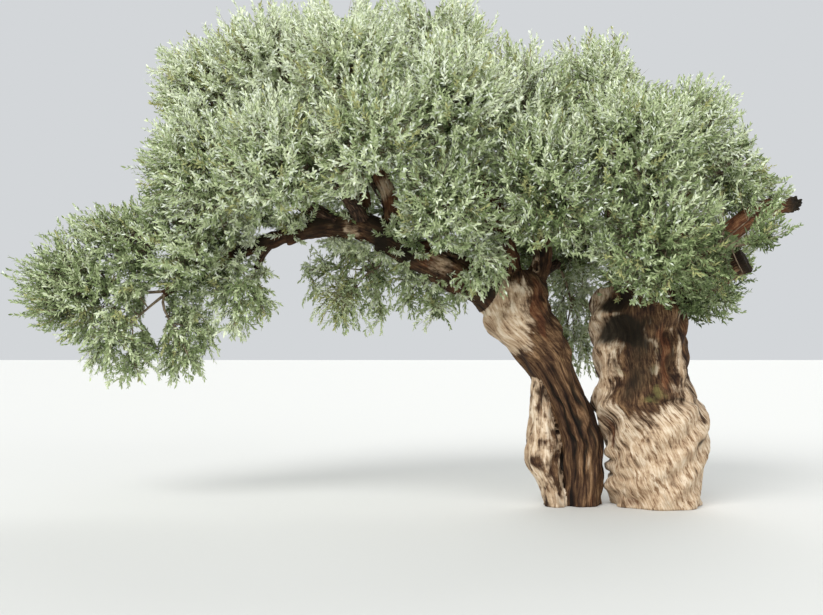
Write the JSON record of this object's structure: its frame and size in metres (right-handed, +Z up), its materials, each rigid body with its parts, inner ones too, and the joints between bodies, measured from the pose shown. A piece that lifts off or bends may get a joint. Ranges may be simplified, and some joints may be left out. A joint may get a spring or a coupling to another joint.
{
  "type": "olive tree",
  "caption": "Very old olive tree with two gnarled stems from one root, a long limb that arches out to one side, a sawn limb and a dense grey-green crown.",
  "frame": {"origin": "middle of the stout stem's flat cut at ground level", "axes": "+Z up, -X towards the tip of the long arching limb, +Y from the side that the view is taken from to the back of the crown"},
  "size_m": [7.7715, 3.7962, 5.2461],
  "materials": {
    "bark": "rough, deeply furrowed bark with weathered grey-cream wood laid bare",
    "leaf": "narrow leathery leaves, grey-green above and silvery below"
  },
  "bodies": {
    "root": {"bough_arch_crest": "bark", "bough_arch_fall": "bark", "bough_arch_rise": "bark", "bough_arch_under": "bark", "bough_arm_upper": "bark", "bough_centre_back": "bark", "bough_centre_rise": "bark", "bough_front_left": "bark", "bough_left_crown": "bark", "bough_left_forward": "bark", "bough_left_rise": "bark", "bough_right_back": "bark", "bough_right_crown": "bark", "bough_right_forward": "bark", "bough_right_low": "bark", "bough_right_rise": "bark", "bough_sawn_end": "bark", "bough_sawn_stump": "bark", "bough_second_upright": "bark", "bough_stem_back": "bark", "bough_underside": "bark", "bough_upright": "bark", "leaves_arch_front": "leaf", "leaves_arm_hanging_inner": "leaf", "leaves_arm_hanging_outer": "leaf", "leaves_arm_middle": "leaf", "leaves_arm_shoulder": "leaf", "leaves_arm_tip": "leaf", "leaves_between_stems": "leaf", "leaves_centre_back": "leaf", "leaves_centre_forward": "leaf", "leaves_centre_top": "leaf", "leaves_centre_top_front": "leaf", "leaves_high_back": "leaf", "leaves_high_front": "leaf", "leaves_high_top": "leaf", "leaves_left_back": "leaf", "leaves_left_brow": "leaf", "leaves_left_forward": "leaf", "leaves_left_front": "leaf", "leaves_left_top": "leaf", "leaves_left_top_back": "leaf", "leaves_low_back": "leaf", "leaves_middle_back": "leaf", "leaves_middle_front": "leaf", "leaves_middle_top": "leaf", "leaves_right_back": "leaf", "leaves_right_crown": "leaf", "leaves_right_edge": "leaf", "leaves_right_front": "leaf", "leaves_right_low": "leaf", "leaves_right_low_front": "leaf", "leaves_right_low_side": "leaf", "leaves_right_top": "leaf", "leaves_stem_front": "leaf", "leaves_under_arch": "leaf", "leaves_under_arch_right": "leaf", "leaves_underside": "leaf", "trunk_left": "bark", "trunk_right": "bark"}
  },
  "joints": []
}
